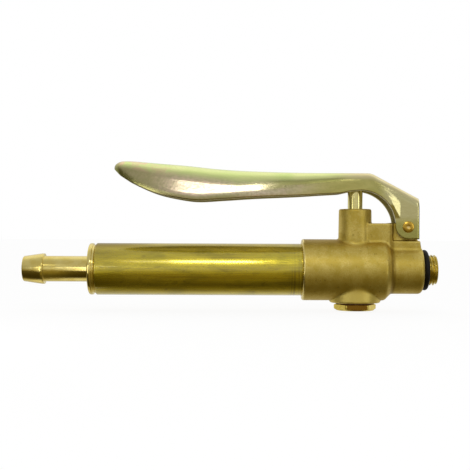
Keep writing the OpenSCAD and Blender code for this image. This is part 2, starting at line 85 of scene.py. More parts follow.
FIT = 0.02                       # pieces pressed, brazed or screwed together
RUN = 0.05                       # round the push rod and the pivot pin
BODY_X, FACE_X = body_low[0], body_high[0]
BARREL_R = body_high[1]
GUIDE_Z, BONNET_Z = body_high[2], body_low[2]
STEM_X = (rod_low[0] + rod_high[0]) / 2
ROD_R = rod_high[1]
PIVOT_X, PIVOT_Z = hinge_at[0], hinge_at[2]
PIN_R = 2.0
BOSS_R = 10.25                   # outlet boss
BOSS_LEN = 13.4
BOSS_X = FACE_X - BOSS_LEN
GUIDE_R = 6.955                  # guide boss round the push rod
BONNET_R = 10.775                # boss over the bonnet plug
PLUG_R = 7.475
GLAND_R = bush_high[1] + FIT
TUBE_R = tube_high[1]
TUBE_WALL = 1.5
TUBE_STEP = 0.6                  # turned off the tube's end in the body
TUBE_BEVEL = 0.7
TUBE_BORE_R = TUBE_R - TUBE_WALL
TUBE_TURNED_R = TUBE_R - TUBE_STEP
TUBE_X, SOCKET_X = tube_low[0], tube_high[0]
NECK_R = 6.2                     # nipple's root in the body
NIPPLE_X = nipple_low[0]
THREAD_R = nipple_high[1]
THREAD_PITCH = 1.337
SHEET = 1.5                      # the lever's steel
TOUCH_GAP = 0.1                  # lever over the push rod
HEEL_Z = rod_high[2] + SHEET + TOUCH_GAP
HEEL_HALF = 8.0                  # half width of the lever over the push rod
TIP_X = lever_low[0]
EAR_R = 5.2                      # of the lever's ears round the pivot
EAR_HALF = 6.3

# ---------------------------------------------------------------- camera

CAMERA_AT = (-86.3, -415.0, 14.77)
FRAME_WIDTH = 202.1              # what the view spans at the middle plane
SENSOR = 36.0
CAMERA_ROLL = 0.0039


def add_camera():
    data = bpy.data.cameras.new("side_camera")
    data.sensor_width = SENSOR
    data.lens = SENSOR * -CAMERA_AT[1] / FRAME_WIDTH
    data.clip_start, data.clip_end = 0.01, 20.0
    camera = bpy.data.objects.new("side_camera", data)
    camera.location = [v * MM for v in CAMERA_AT]
    camera.rotation_euler = (math.radians(90), -CAMERA_ROLL, 0)
    bpy.context.scene.collection.objects.link(camera)
    bpy.context.scene.camera = camera
    bpy.context.scene.view_settings.view_transform = "Standard"


# ---------------------------------------------------------------- writing materials


class Value:
    """A node's output that can be added to, multiplied and so on: each step adds a Math node."""

    def __init__(self, tree, socket):
        self.tree, self.socket = tree, socket

    def math(self, operation, *inputs):
        return self.tree.node("ShaderNodeMath", {"operation": operation}, dict(enumerate(inputs)))

    def __add__(self, other):
        return self.math("ADD", self, other)

    def __sub__(self, other):
        return self.math("SUBTRACT", self, other)

    def __rsub__(self, other):
        return self.math("SUBTRACT", other, self)

    def __mul__(self, other):
        return self.math("MULTIPLY", self, other)

    def __abs__(self):
        return self.math("ABSOLUTE", self)

    __radd__, __rmul__ = __add__, __mul__

    def rises(self, low, high):
        """0 below low, 1 above high and smooth between; it falls instead where low is above high."""
        return self.tree.node("ShaderNodeMapRange", {"interpolation_type": "SMOOTHSTEP"},
                              {"Value": self, "From Min": low, "From Max": high})

    def split(self):
        """The X, Y and Z of a vector."""
        node = self.tree.nodes.new("ShaderNodeSeparateXYZ")
        self.tree.feed(node.inputs[0], self)
        return [Value(self.tree, output) for output in node.outputs]


class Tree:
    """Writes the nodes of a material or of the world."""

    def __init__(self, owner):
        owner.use_nodes = True
        self.owner, self.nodes, self.links = owner, owner.node_tree.nodes, owner.node_tree.links
        self.nodes.clear()

    def feed(self, socket, value):
        if isinstance(value, Value):
            self.links.new(value.socket, socket)
        else:
            socket.default_value = value

    def node(self, kind, settings, sockets, output=0):
        """A new node of this kind: its settings first, then its sockets' values or links."""
        node = self.nodes.new(kind)
        for name, setting in settings.items():
            if name == "stops":
                elements = node.color_ramp.elements
                while len(elements) < len(setting):
                    elements.new(1.0)
                for element, (at, colour) in zip(elements, setting):
                    element.position, element.color = at, colour
            else:
                setattr(node, name, setting)
        for name, value in sockets.items():
            self.feed(node.inputs[name], value)
        return Value(self, node.outputs[output]) if node.outputs else node

    def place(self):
        """Where a point is, in millimetres."""
        at = self.node("ShaderNodeTexCoord", {}, {}, "Object")
        return self.node("ShaderNodeVectorMath", {"operation": "SCALE"}, {0: at, "Scale": 1 / MM})

    def facing(self):
        """Which way the surface faces on its piece."""
        return self.node("ShaderNodeTexCoord", {}, {}, "Normal")

    def stretched(self, place, x, y, z):
        return self.node("ShaderNodeVectorMath", {"operation": "MULTIPLY"}, {0: place, 1: (x, y, z)})

    def noise(self, place, size, detail=3.0, rough=0.5, warp=0.0):
        """Soft random values from 0 to 1, in patches about size millimetres across."""
        return self.node("ShaderNodeTexNoise", {}, {
            "Vector": place, "Scale": 1 / size, "Detail": detail, "Roughness": rough, "Distortion": warp})

    def by_curvature(self, low, high):
        """1 on outer corners, or in hollows if low is above high: wear where handling rubs a finish off, and
        also painted shade on the lever's lower rim and the body's darker hollows.
        """
        return self.node("ShaderNodeNewGeometry", {}, {}, "Pointiness").rises(low, high)

    def blend(self, factor, first, second):
        return self.node("ShaderNodeMix", {"data_type": "RGBA"}, {0: factor, 6: first, 7: second}, 2)

    def bump(self, height, depth):
        return self.node("ShaderNodeBump", {}, {"Height": height, "Distance": depth * MM, "Strength": 1.0})

    def finish(self, **sockets):
        named = {name.replace("_", " "): value for name, value in sockets.items()}
        shader = self.node("ShaderNodeBsdfPrincipled", {}, named)
        self.node("ShaderNodeOutputMaterial", {}, {"Surface": shader})
        return self.owner


def new_finish(name):
    return Tree(bpy.data.materials.new(name))


# ---------------------------------------------------------------- finishes


def cast_brass():
    """Sand-cast body: fine grain, rubbed corners and faces that were machined. It is darker in its hollows,
    with painted shade on its tops and in the valley by the outlet boss, and a painted highlight low on the
    boss over the bonnet plug."""
    t = new_finish("cast_brass")
    at = t.place()
    x, y, z = at.split()
    deep, pale, sandy = (0.66, 0.51, 0.11, 1), (0.81, 0.66, 0.20, 1), (0.66, 0.45, 0.06, 1)
    # The second colour on the next line is the dark brown of the painted shade and of the darker hollows.
    spotted, darkened, rubbed = (0.40, 0.26, 0.04, 1), (0.26, 0.15, 0.015, 1), (0.95, 0.78, 0.30, 1)
    grain = t.noise(at, 0.45, 4, 0.6)
    cloud = t.noise(at, 5, 3, 0.55)
    spots = t.noise(at, 1.3, 2, 0.5).rises(0.62, 0.75)
    up = t.facing().split()[2].rises(0.75, 0.98)
    by_curvature = t.by_curvature(0.52, 0.60)
    hollow = t.by_curvature(0.49, 0.44)
    neck = x.rises(BOSS_X - 1.4, BOSS_X - 0.5) * x.rises(BOSS_X + 1.4, BOSS_X + 0.3)
    from_stem = (x - STEM_X) * (x - STEM_X) + y * y
    # Painted highlight: the lower part of the boss over the bonnet plug is painted brighter.
    bonnet = from_stem.rises(BONNET_R ** 2 + 6, BONNET_R ** 2 + 1) * z.rises(BONNET_Z + 6.5, BONNET_Z + 3.5)
    faced = (x.rises(BODY_X + 0.9, BODY_X + 0.7) + x.rises(FACE_X - 0.2, FACE_X - 0.1)
             + z.rises(GUIDE_Z - 0.2, GUIDE_Z - 0.1) + z.rises(BONNET_Z + 0.2, BONNET_Z + 0.1))
    colour = t.blend(cloud.rises(0.35, 0.65), deep, pale)
    colour = t.blend(grain.rises(0.35, 0.65) * 0.6, colour, sandy)
    colour = t.blend(spots * 0.5, colour, spotted)
    # Painted shade: darker on the tops and in the valley where the barrel meets the outlet boss; darker also
    # in the hollows.
    colour = t.blend(hollow * 0.8 + up * 0.6 + neck * 0.6, colour, darkened)
    colour = t.blend(by_curvature * 0.6, colour, rubbed)
    # Painted highlight on the boss over the bonnet plug.
    colour = t.blend(bonnet * 0.75, colour, (0.98, 0.79, 0.22, 1))
    colour = t.blend(faced, colour, (0.93, 0.76, 0.28, 1))
    return t.finish(Base_Color=colour, Metallic=1.0, Normal=t.bump(grain * 0.6 + cloud * 1.5, 0.05),
                    Roughness=0.40 + grain * 0.16 - by_curvature * 0.06 - faced * 0.18)


def drawn_brass():
    """Lacquered tube with die lines along it and an olive tarnish, heaviest in bands by the body, along
    its top and at its hose end."""
    t = new_finish("drawn_brass")
    at = t.place()
    x, _, z = at.split()
    deep, pale, olive = (0.68, 0.53, 0.01, 1), (0.88, 0.72, 0.03, 1), (0.46, 0.38, 0.01, 1)
    scored, tarnished, rubbed = (0.36, 0.25, 0.015, 1), (0.30, 0.22, 0.02, 1), (0.86, 0.72, 0.28, 1)
    lines = t.noise(t.stretched(at, 0.02, 1, 1), 0.5, 4, 0.65)
    streaks = t.noise(t.stretched(at, 0.05, 1, 1), 2.2, 3, 0.6)
    cloud = t.noise(t.stretched(at, 0.35, 1, 1), 5, 3, 0.55, 0.4)
    rings = t.noise(t.stretched(at, 1, 0.02, 0.02), 0.7, 2, 0.5)
    smudge = t.noise(t.stretched(at, 0.5, 1, 1), 2.6, 4, 0.6, 1.2).rises(0.56, 0.70)
    banded = x.rises(BODY_X - 6.5, BODY_X - 4) * rings.rises(0.42, 0.60) * (z.rises(2, -3) * 0.45 + 0.15)
    crest = z.rises(TUBE_R - 2.6, TUBE_R - 0.6)
    by_tip = z.rises(TUBE_R - 4.5, TUBE_R - 2) * x.rises(TIP_X + 24, TIP_X + 6)
    by_hose = x.rises(TUBE_X + 30, TUBE_X)
    colour = t.blend(streaks.rises(0.35, 0.65), deep, pale)
    colour = t.blend(cloud.rises(0.45, 0.70) * 0.75, colour, olive)
    colour = t.blend(lines.rises(0.5, 0.68) * 0.5, colour, scored)
    colour = t.blend(smudge * 0.4, colour, tarnished)
    colour = t.blend(banded + by_hose * 0.3 + crest * 0.4 + by_tip * 0.35, colour, tarnished)
    colour = t.blend(t.by_curvature(0.52, 0.58) * 0.7, colour, rubbed)
    return t.finish(Base_Color=colour, Metallic=1.0, Normal=t.bump(lines + streaks * 2, 0.012),
                    Roughness=0.17 + lines * 0.14 + cloud * 0.08,
                    Coat_Weight=0.9 - crest * 0.6 - by_tip * 0.3, Coat_Roughness=0.12, Coat_IOR=1.85)


def polished_brass(name, clear, dull, along):
    """Hose tail or push rod, bright from the lathe, with very fine turning lines across its length."""
    t = new_finish(name)
    at = t.place()
    lines = t.noise(t.stretched(at, *along), 0.16, 3, 0.6)
    cloud = t.noise(at, 4, 3, 0.55)
    colour = t.blend(cloud.rises(0.35, 0.7), clear, dull)
    colour = t.blend(lines.rises(0.55, 0.75) * 0.3, colour, (0.66, 0.47, 0.07, 1))
    return t.finish(Base_Color=colour, Metallic=1.0, Normal=t.bump(lines, 0.004),
                    Roughness=0.10 + lines * 0.07 + cloud * 0.05)


def turned_brass(name, clear, dull, darkened=0):
    """Pieces straight from the lathe: nipple, bonnet plug, bushes and rings. Their corners are brightest, and
    the plug's hexagon is darker brown on its near and far flats."""
    t = new_finish(name)
    at = t.place()
    cloud = t.noise(at, 2.5, 3, 0.6)
    fine = t.noise(at, 0.3, 3, 0.6)
    colour = t.blend(cloud.rises(0.35, 0.65), clear, dull)
    colour = t.blend(fine.rises(0.5, 0.75) * 0.4, colour, (0.60, 0.38, 0.05, 1))
    if darkened:
        # The flats facing along y, the near and far ones, are darker brown.
        flats = abs(t.facing().split()[1]).rises(0.90, 0.97)
        colour = t.blend(flats * darkened, colour, (0.26, 0.11, 0.008, 1))
    colour = t.blend(t.by_curvature(0.52, 0.60) * 0.6, colour, (0.95, 0.78, 0.28, 1))
    return t.finish(Base_Color=colour, Metallic=1.0, Normal=t.bump(fine, 0.01), Roughness=0.20 + fine * 0.14)


def yellow_zinc():
    """Passivated zinc on pressed steel: yellow and green on the back, rose-grey on the sides, olive on the
    ears. The hollow side is dull, painted pale and glowing faintly, painted light; painted shade darkens the
    channel's inner faces, the lower rim, the crease along the back, the lower side and the tip."""
    t = new_finish("yellow_zinc")
    at = t.place()
    x, y, z = at.split()
    across, up = t.facing().split()[1:]
    blotch = t.noise(t.stretched(at, 0.35, 1, 1), 3.2, 4, 0.6, 0.8)
    cloud = t.noise(t.stretched(at, 0.4, 1, 1), 9, 3, 0.55, 1.0)
    rosy = t.noise(t.stretched(at, 0.7, 1, 1), 4.0, 4, 0.6, 1.0)
    fine = t.noise(at, 0.5, 4, 0.65)
    flecks = t.noise(at, 1.1, 3, 0.7)
    end = x.rises(TIP_X + 32, TIP_X + 12)
    back = (up + x.rises(TIP_X + 44, TIP_X + 62) * 0.1).rises(0.28, 0.76)
    # Painted shade: the inner faces of the channel are darker, duller and less metallic.
    inside = (y * across).rises(-1, -4)
    # Painted shade: a dark line along the lower rim of the sheet.
    rim = t.by_curvature(0.51, 0.55) * up.rises(0.1, -0.3)
    # Painted light: the underside is painted pale, less metallic, and glows faintly.
    under = up.rises(-0.3, -0.8) * rim.rises(0.7, 0.2)
    # Painted shade: a dark band on the crease along the back, in place of its highlight.
    fold = (up.rises(0.10, 0.24) * up.rises(0.60, 0.38)
            * x.rises(TIP_X + 60, TIP_X + 72) * x.rises(HEEL_X, HEEL_X - 8))
    # Painted shade: the lower side, where it turns under, is darker towards the tip.
    low = up.rises(0.16, 0.02) * x.rises(TIP_X + 62, TIP_X + 48)
    # Painted shade: the very tip is darker.
    nose = x.rises(TIP_X + 4, TIP_X + 1.5)
    side = zinc_side(t, x, z, blotch, cloud, rosy, flecks, end)
    colour = t.blend(back, side, zinc_back(t, x, cloud, rosy, end))
    # Painted shade on the crease, on the lower side and at the tip.
    colour = t.blend(fold * 0.75 + low * 0.6 + nose * 0.6, colour, (0.30, 0.30, 0.08, 1))
    colour = t.blend(t.by_curvature(0.53, 0.60) * 0.4, colour, (0.88, 0.82, 0.55, 1))
    # Painted shade inside the channel.
    colour = t.blend(inside * 0.85, colour, (0.40, 0.37, 0.17, 1))
    # Painted light: pale colour on the underside.
    colour = t.blend(under, colour, (0.84, 0.80, 0.54, 1))
    # Painted shade along the lower rim.
    colour = t.blend(rim * 0.9, colour, (0.16, 0.11, 0.02, 1))
    height = blotch * 1.2 + fine * 0.25 + flecks * 1.1
    # Painted light: the underside glows faintly through its emission.
    return t.finish(Base_Color=colour, Metallic=1 - under * 0.9 - inside * 0.6, Normal=t.bump(height, 0.03),
                    Roughness=0.12 + fine * 0.12 + blotch * 0.05 + fold * 0.1 + inside * 0.3 + under * 0.3,
                    Emission_Color=t.blend(under, (0, 0, 0, 1), (0.9, 0.85, 0.6, 1)), Emission_Strength=0.14)


def zinc_side(t, x, z, blotch, cloud, rosy, flecks, end):
    """The sides: mottled, rosiest by the tip and olive from the heel to the ears, with a painted highlight on
    the ears above the pivot, painted shade low on the ears and painted shade over the tip.
    """
    heel = x.rises(HEEL_X - 38, HEEL_X - 6)
    above_pivot = z.rises(PIVOT_Z + 1, PIVOT_Z + 5) * x.rises(HEEL_X + 10, HEEL_X + 16)
    side = t.blend(blotch.rises(0.35, 0.65), (0.80, 0.68, 0.46, 1), (0.70, 0.60, 0.38, 1))
    side = t.blend(rosy.rises(0.40, 0.66) * 0.8, side, (0.80, 0.62, 0.48, 1))
    side = t.blend(cloud.rises(0.50, 0.70) * 0.4, side, (0.66, 0.68, 0.34, 1))
    side = t.blend(x.rises(TIP_X + 50, TIP_X + 32) * 0.7, side, (0.80, 0.60, 0.45, 1))
    side = t.blend(flecks.rises(0.46, 0.57) * 0.6, side, (0.56, 0.49, 0.30, 1))
    ear = t.blend(blotch.rises(0.35, 0.65), (0.62, 0.56, 0.19, 1), (0.54, 0.50, 0.16, 1))
    # Painted highlight: the ears are lighter above the pivot.
    ear = t.blend(above_pivot * 0.6, ear, (0.78, 0.72, 0.42, 1))
    # Painted shade: the ears are darker below the pivot.
    ear = t.blend(z.rises(PIVOT_Z + 4, PIVOT_Z - 4) * 0.5, ear, (0.34, 0.34, 0.09, 1))
    # Painted shade: the sides darken over the tip.
    return t.blend(end * 0.65, t.blend(heel, side, ear), (0.34, 0.34, 0.10, 1))


def zinc_back(t, x, cloud, rosy, end):
    """The back: green and yellow along the blade, cream beyond the heel."""
    blade = x.rises(HEEL_X + 4, HEEL_X - 14)
    green = t.blend(cloud.rises(0.35, 0.65), (0.95, 1.0, 0.43, 1), (0.80, 0.93, 0.34, 1))
    green = t.blend(rosy.rises(0.46, 0.62) * end, green, (1.0, 0.74, 0.44, 1))
    cream = t.blend(cloud.rises(0.35, 0.65), (0.98, 0.87, 0.50, 1), (0.88, 0.76, 0.40, 1))
    return t.blend(blade, cream, green)


def coppered_steel():
    """Rivet pin, with a painted highlight in the middle of its head."""
    t = new_finish("coppered_steel")
    at = t.place()
    x, _, z = at.split()
    fine = t.noise(at, 0.35, 3, 0.6)
    from_middle = (x - PIVOT_X) * (x - PIVOT_X) + (z - PIVOT_Z) * (z - PIVOT_Z)
    colour = t.blend(fine.rises(0.35, 0.7), (0.74, 0.48, 0.08, 1), (0.48, 0.29, 0.03, 1))
    # Painted highlight: the middle of the head is painted bright.
    colour = t.blend(from_middle.rises(0.7, 0.15), colour, (1.0, 0.76, 0.30, 1))
    return t.finish(Base_Color=colour, Metallic=1.0, Normal=t.bump(fine, 0.02), Roughness=0.22 + fine * 0.15)


def black_rubber():
    """Seals, black with a little dust."""
    t = new_finish("black_rubber")
    at = t.place()
    fine = t.noise(at, 0.25, 3, 0.6)
    dust = t.noise(at, 2, 3, 0.6).rises(0.5, 0.75)
    colour = t.blend(dust * 0.5, (0.004, 0.003, 0.001, 1), (0.014, 0.012, 0.006, 1))
    return t.finish(Base_Color=colour, Normal=t.bump(fine, 0.01), Roughness=0.50 + fine * 0.15,
                    Specular_IOR_Level=0.3)


def red_fibre():
    """Pressed gaskets, with their fibres lying flat."""
    t = new_finish("red_fibre")
    at = t.place()
    fibres = t.noise(t.stretched(at, 1, 1, 4), 0.6, 4, 0.7)
    colour = t.blend(fibres.rises(0.3, 0.7), (0.20, 0.06, 0.025, 1), (0.11, 0.035, 0.015, 1))
    return t.finish(Base_Color=colour, Normal=t.bump(fibres, 0.03), Roughness=0.70 + fibres * 0.15)


def bright_steel(name, tint):
    """Spring wire or gauze, mottled with a darker shade of its tint."""
    t = new_finish(name)
    at = t.place()
    fine = t.noise(at, 0.3, 3, 0.6)
    darker = tuple(0.72 * v for v in tint[:3]) + (1,)
    colour = t.blend(fine.rises(0.35, 0.7), tint, darker)
    return t.finish(Base_Color=colour, Metallic=1.0, Normal=t.bump(fine, 0.01), Roughness=0.26 + fine * 0.12)


# ---------------------------------------------------------------- making meshes


def add_piece(name, points, faces, finish, body, slot, *nodes, crease=38):
    """A clean mesh from points in millimetres, with its finish, its body and the nodes it stands for."""
    mesh = bpy.data.meshes.new(name)
    mesh.from_pydata((np.asarray(points) * MM).tolist(), [], faces)
    shape = bmesh.new()
    shape.from_mesh(mesh)
    bmesh.ops.remove_doubles(shape, verts=shape.verts, dist=1e-7)
    bmesh.ops.recalc_face_normals(shape, faces=shape.faces)
    shape.to_mesh(mesh)
    shape.free()
    mesh.shade_smooth()
    mesh.set_sharp_from_angle(angle=math.radians(crease))
    mesh.materials.append(finish)
    piece = bpy.data.objects.new(name, mesh)
    bpy.context.scene.collection.objects.link(piece)
    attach(piece, body)
    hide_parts(*nodes)
    return piece


def rounded(corners, steps=5):
    """An outline whose corners are (a, b) or, where they are rounded off, (a, b, radius)."""
    outline = []
    for i, corner in enumerate(corners):
        at = np.array(corner[:2], float)
        if len(corner) < 3:
            outline.append(at)
            continue
        radius = corner[2]
        back = np.array(corners[i - 1][:2]) - at
        ahead = np.array(corners[(i + 1) % len(corners)][:2]) - at
        back, ahead = back / np.linalg.norm(back), ahead / np.linalg.norm(ahead)
        half = math.acos(float(back @ ahead)) / 2
        middle = back + ahead
        centre = at + middle / np.linalg.norm(middle) * radius / math.sin(half)
        start = at + back * radius / math.tan(half) - centre
        end = at + ahead * radius / math.tan(half) - centre
        turn = math.pi - 2 * half
        for k in range(steps + 1):
            u = k / steps
            swept = start * math.sin((1 - u) * turn) + end * math.sin(u * turn)
            outline.append(centre + swept / math.sin(turn))
    return np.array(outline)


def joined(rings, closed):
    """Points and faces of a skin through rings of points; the last ring meets the first if closed."""
    count, around = rings.shape[:2]
    ids = np.arange(count * around).reshape(count, around)
    if closed:
        ids = np.vstack([ids, ids[:1]])
    here, there = ids[:-1], ids[1:]
    faces = np.stack([here, np.roll(here, -1, 1), np.roll(there, -1, 1), there], -1).reshape(-1, 4)
    return rings.reshape(-1, 3), faces.tolist()


def turned(outline, axis, sides=144, centre=(0, 0, 0), radius=None):
    """Rings of a piece turned about an axis. The outline is (along, radius) points, and
    radius(along, radius, angle) changes it round the piece, for a thread or a hexagon."""
    angle = np.linspace(0, 2 * math.pi, sides, endpoint=False)
    along = np.repeat(outline[:, :1], sides, 1)
    out = np.repeat(outline[:, 1:], sides, 1)
    if radius:
        out = radius(along, out, angle[None, :])
    first, second = out * np.cos(angle), out * np.sin(angle)
    order = {"x": (along, first, second), "y": (second, along, first), "z": (first, second, along)}[axis]
    return np.stack(order, -1) + np.array(centre)


def turned_piece(name, outline, axis, finish, body, slot, node, centre=(0, 0, 0), solid=False, radius=None):
    """A turned piece; a solid one's outline starts and ends on the axis, a ring's goes all the way round."""
    points, faces = joined(turned(outline, axis, centre=centre, radius=radius), closed=not solid)
    return add_piece(name, points, faces, finish, body, slot, node)


# ---------------------------------------------------------------- cast body, as a solid field


def outline_gap(outline, a, b):
    """Distance from points (a, b) to a closed outline, below 0 inside it."""
    nearest = np.full(a.shape, np.inf)
    inside = np.zeros(a.shape, bool)
    for (a0, b0), (a1, b1) in zip(outline, np.roll(outline, -1, 0)):
        da, db = a1 - a0, b1 - b0
        along = np.clip(((a - a0) * da + (b - b0) * db) / (da * da + db * db), 0, 1)
        nearest = np.minimum(nearest, (a - a0 - along * da) ** 2 + (b - b0 - along * db) ** 2)
        if db:
            inside ^= ((b0 <= b) != (b1 <= b)) & (a < a0 + (b - b0) * da / db)
    return np.where(inside, -1, 1) * np.sqrt(nearest)


def plate_gap(outline, x, z, y, half, edge):
    """Distance from points to a plate of this outline and half thickness, with its edges rounded."""
    flat, thick = outline_gap(outline, x, z) + edge, np.abs(y) - half + edge
    inner, outer = np.minimum(np.maximum(flat, thick), 0), np.hypot(np.maximum(flat, 0), np.maximum(thick, 0))
    return inner + outer - edge


def fused(first, second, fillet):
    """Two solids grown together with a fillet between them."""
    near = np.maximum(fillet - np.abs(first - second), 0) / fillet
    return np.minimum(first, second) - near * near * fillet / 4


def cut(solid, tool, edge):
    """A solid with the tool's shape cut away, and the cut's edge broken."""
    return -fused(-solid, tool, edge)


# Sections of what is round: (x, radius) for the barrel, (z, radius) for the guide and the bonnet boss
BARREL = rounded([(BODY_X, -BARREL_R), (BODY_X, BARREL_R - 0.5, 0.2), (BODY_X + 0.4, BARREL_R, 0.4),
                  (BOSS_X - BARREL_R + BOSS_R, BARREL_R, 2.0), (BOSS_X, BOSS_R, 1.4),
                  (FACE_X, BOSS_R, 1.7), (FACE_X, -BARREL_R)])
GUIDE = rounded([(0, -GUIDE_R), (0, GUIDE_R + 0.2), (BARREL_R, GUIDE_R + 0.2), (GUIDE_Z, GUIDE_R, 0.8),
                 (GUIDE_Z, -GUIDE_R)])
BONNET = rounded([(0, -BONNET_R), (0, BONNET_R), (BONNET_Z, BONNET_R, 0.5), (BONNET_Z, -BONNET_R)])
# Side views, as (x, z), of the rib behind the ears and of the lug between them
RIB_RISE = 6.9                   # over the barrel
EAR_STEP = 0.74                  # from the ears down to the ledge
EAR_SWEEP_GAP = 1.3              # behind the ears as they turn
RIB_X, RIB_Z = FACE_X - 1.1, BARREL_R + RIB_RISE
LEDGE_Z = PIVOT_Z - EAR_R - EAR_STEP
RECESS_X = PIVOT_X - EAR_R - EAR_SWEEP_GAP
RIB = rounded([(STEM_X, 0), (RIB_X + 0.35, 0), (RIB_X + 0.35, LEDGE_Z - 4.6, 3.0),
               (RIB_X - 0.3, LEDGE_Z, 0.4), (RECESS_X, LEDGE_Z, 0.6), (RECESS_X, RIB_Z, 0.6),
               (STEM_X, RIB_Z)])
RIB_HALF = 5.5
LUG_R = 4.3
LUG_HALF = 4.6
LUG_BACK = math.pi - math.asin((RIB_Z - PIVOT_Z) / LUG_R)
LUG_TOP = [(PIVOT_X + LUG_R * math.cos(a), PIVOT_Z + LUG_R * math.sin(a))
           for a in np.linspace(0, LUG_BACK, 13)]
LUG = np.array([(RECESS_X - 1, LEDGE_Z - 1), (PIVOT_X + LUG_R, LEDGE_Z - 1)]
               + LUG_TOP + [(RECESS_X - 1, RIB_Z)])
INLET_R, CROSS_R, OUTLET_R = 3.2, 2.8, 4.5
BORE_EDGE, PIN_EDGE = 0.5, 0.3   # how far the edges of the holes are broken
PAST = 60                        # well out of the body


def body_gap(at):
    """Distance from points to the cast body's surface, below 0 in the metal."""
    x, y, z = at
    from_axis, from_stem = np.hypot(y, z), np.hypot(x - STEM_X, y)
    solid = outline_gap(BARREL, x, from_axis)
    rib = plate_gap(RIB, x, z, y, RIB_HALF, 0.4)
    rib = fused(rib, outline_gap(GUIDE, z, from_stem), 0.5)
    solid = fused(solid, rib, 0.9)
    solid = fused(solid, outline_gap(BONNET, z, from_stem), 0.7)
    solid = fused(solid, plate_gap(LUG, x, z, y, LUG_HALF, 0.5), 0.8)
    solid = np.maximum(solid, BONNET_Z - z)
    flow_z = (seat_low[2] + plug_high[2]) / 2 + 0.5
    stem_bores = [(ROD_R + RUN, gland_low[2], PAST), (GLAND_R, bush_low[2] - 2, gland_high[2]),
                  (GLAND_R + 1, 0, bush_low[2] - 1), (seat_high[1] + FIT, seat_low[2] - 2, seat_high[2]),
                  (PLUG_R - 0.6, plug_high[2] - 2, seat_low[2]), (PLUG_R + FIT, -PAST, plug_high[2])]
    flow_bores = [(TUBE_TURNED_R + FIT, BODY_X - PAST, SOCKET_X + 1, 0),
                  (TUBE_BORE_R - 1, SOCKET_X, SOCKET_X + 3.5, 0), (INLET_R, SOCKET_X, STEM_X - 4, flow_z),
                  (NECK_R + FIT, NIPPLE_X, PAST, 0), (OUTLET_R, NIPPLE_X - 6, FACE_X, 0),
                  (CROSS_R, STEM_X + 4.5, NIPPLE_X - 4, seat_high[2] + 3)]
    for radius, low, high in stem_bores:
        solid = cut(solid, drill(from_stem, z, radius, low, high), BORE_EDGE)
    for radius, low, high, up in flow_bores:
        solid = cut(solid, drill(np.hypot(y, z - up), x, radius, low, high), BORE_EDGE)
    return cut(solid, np.hypot(x - PIVOT_X, z - PIVOT_Z) - PIN_R - RUN, PIN_EDGE)


def drill(from_axis, along, radius, low, high):
    """Distance from points to a drilled hole between two places along its axis."""
    return np.maximum(from_axis - radius, np.abs(along - (low + high) / 2) - (high - low) / 2)


def skin(gap, low, high, cell):
    """Points and faces of the surface where gap is 0, one point in each cell that the surface crosses."""
    spans = [np.arange(a, b + cell, cell) for a, b in zip(low, high)]
    field = gap(np.array(np.meshgrid(*spans, indexing="ij")))
    crossed, inside_cell = crossings(field)
    ids = np.full(crossed.shape, -1)
    ids[crossed] = np.arange(crossed.sum())
    points = np.array(low)[:, None] + cell * (np.argwhere(crossed).T + inside_cell)
    for _ in range(4):
        points -= gap_step(gap, points, cell)
    return points.T, cell_faces(field < 0, ids)


def crossings(field):
    """Which cells of a field the surface crosses, and where in each cell it lies, as shares of the cell."""
    full = field < 0
    corners = [(i, j, k) for i in (0, 1) for j in (0, 1) for k in (0, 1)]
    size = [n - 1 for n in field.shape]

    def at_corner(array, corner):
        return array[tuple(slice(c, c + n) for c, n in zip(corner, size))]

    count_full = sum(at_corner(full, c).astype(np.int8) for c in corners)
    crossed = (count_full > 0) & (count_full < 8)
    total, hits = np.zeros((3,) + crossed.shape), np.zeros(crossed.shape)
    for first in corners:
        for axis in range(3):
            if first[axis]:
                continue
            second = tuple(1 if i == axis else c for i, c in enumerate(first))
            f0, f1 = at_corner(field, first), at_corner(field, second)
            hit = (f0 < 0) != (f1 < 0)
            share = np.where(hit, f0 / np.where(hit, f0 - f1, 1), 0)
            for i in range(3):
                total[i] += np.where(hit, first[i] + (share if i == axis else 0), 0)
            hits += hit
    return crossed, total[:, crossed] / hits[crossed]


def cell_faces(full, ids):
    """A face for each edge of the grid that goes from metal to air, through the points of its four cells."""
    size = [n - 1 for n in full.shape]
    faces = []
    for axis in range(3):
        u, v = (axis + 1) % 3, (axis + 2) % 3
        edge = np.argwhere(full != np.roll(full, -1, axis))
        edge = edge[(edge[:, axis] < size[axis]) & (edge[:, u] > 0) & (edge[:, v] > 0)
                    & (edge[:, u] < size[u]) & (edge[:, v] < size[v])]
        step_u, step_v = np.eye(3, dtype=int)[u], np.eye(3, dtype=int)[v]
        round_edge = [edge - a * step_u - b * step_v for a, b in ((0, 0), (1, 0), (1, 1), (0, 1))]
        quad = np.stack([ids[tuple(cells.T)] for cells in round_edge], 1)
        flip = ~full[tuple(edge.T)]
        quad[flip] = quad[flip][:, ::-1]
        faces += quad.tolist()
    return faces


def gap_step(gap, points, cell):
    """How far points have to move to reach the surface, at most half a cell."""
    reach = 0.02
    here = gap(points)
    slope = np.array([gap(points + reach * axis[:, None]) - here for axis in np.eye(3)]) / reach
    step = here * slope / np.maximum((slope ** 2).sum(0), 0.25)
    length = np.maximum(np.linalg.norm(step, axis=0), 1e-9)
    return step * np.minimum(1, 0.5 * cell / length)


def make_body(finish):
    cell = 0.42                  # fine enough for the fillets
    margin = 2 * cell
    points, faces = skin(body_gap, body_low - margin, body_high + margin, cell)
    return add_piece("cast_body", points, faces, finish, "housing", "cast_brass", "valve_body", crease=60)


# ---------------------------------------------------------------- lever


